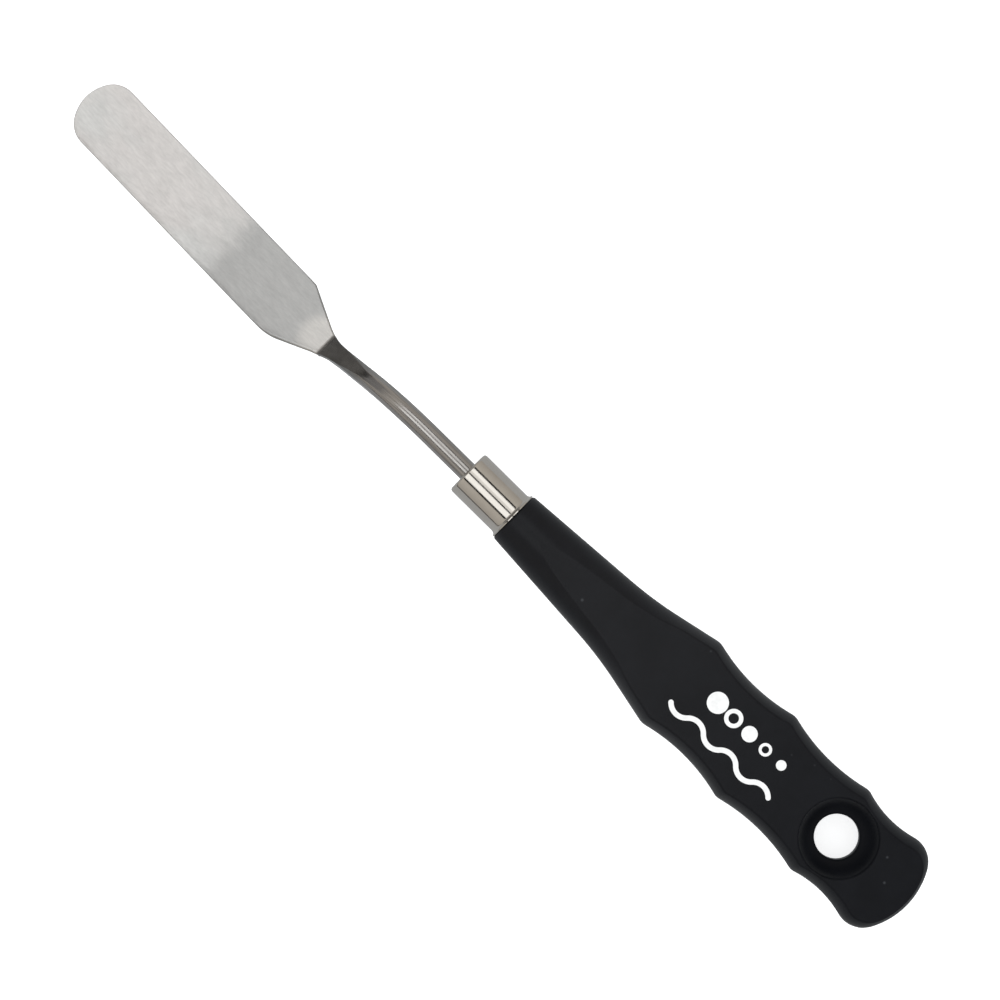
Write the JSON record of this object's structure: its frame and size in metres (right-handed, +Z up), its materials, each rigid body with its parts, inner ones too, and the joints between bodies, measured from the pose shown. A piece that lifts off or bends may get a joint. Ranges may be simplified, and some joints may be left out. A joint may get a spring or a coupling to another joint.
{
  "type": "palette knife",
  "caption": "Palette knife: long round-nosed sprung steel blade on a cranked round shank, plated ferrule, scalloped soft-touch handle with a dished hanging hole.",
  "frame": {"origin": "on the table under the middle of the knife's box, with the knife lying as it rests on the heel of its blade and the end of its handle", "axes": "+X along the knife towards the tip of the blade, +Z up, +Y to the side of the blunter shoulder"},
  "size_m": [0.2398, 0.0234, 0.0202],
  "materials": {
    "blade_steel": "satin ground spring steel, fine mottled grain",
    "weld_steel": "dressed weld, slightly darker than the steel beside it",
    "shank_steel": "drawn and forged steel rod, lengthwise grain",
    "nickel_plate": "bright nickel plate, warm",
    "core_plastic": "rigid black moulding",
    "soft_grip": "matte soft-touch black, fine moulded grain",
    "adhesive": "cured amber epoxy",
    "white_ink": "pad-printed white ink"
  },
  "bodies": {
    "root": {"blade": "blade_steel", "weld_seam": "weld_steel", "shank": "shank_steel", "ferrule": "nickel_plate", "handle_core": "core_plastic", "grip_cover": "soft_grip", "tang_adhesive": "adhesive", "printed_mark": "white_ink"}
  },
  "joints": []
}
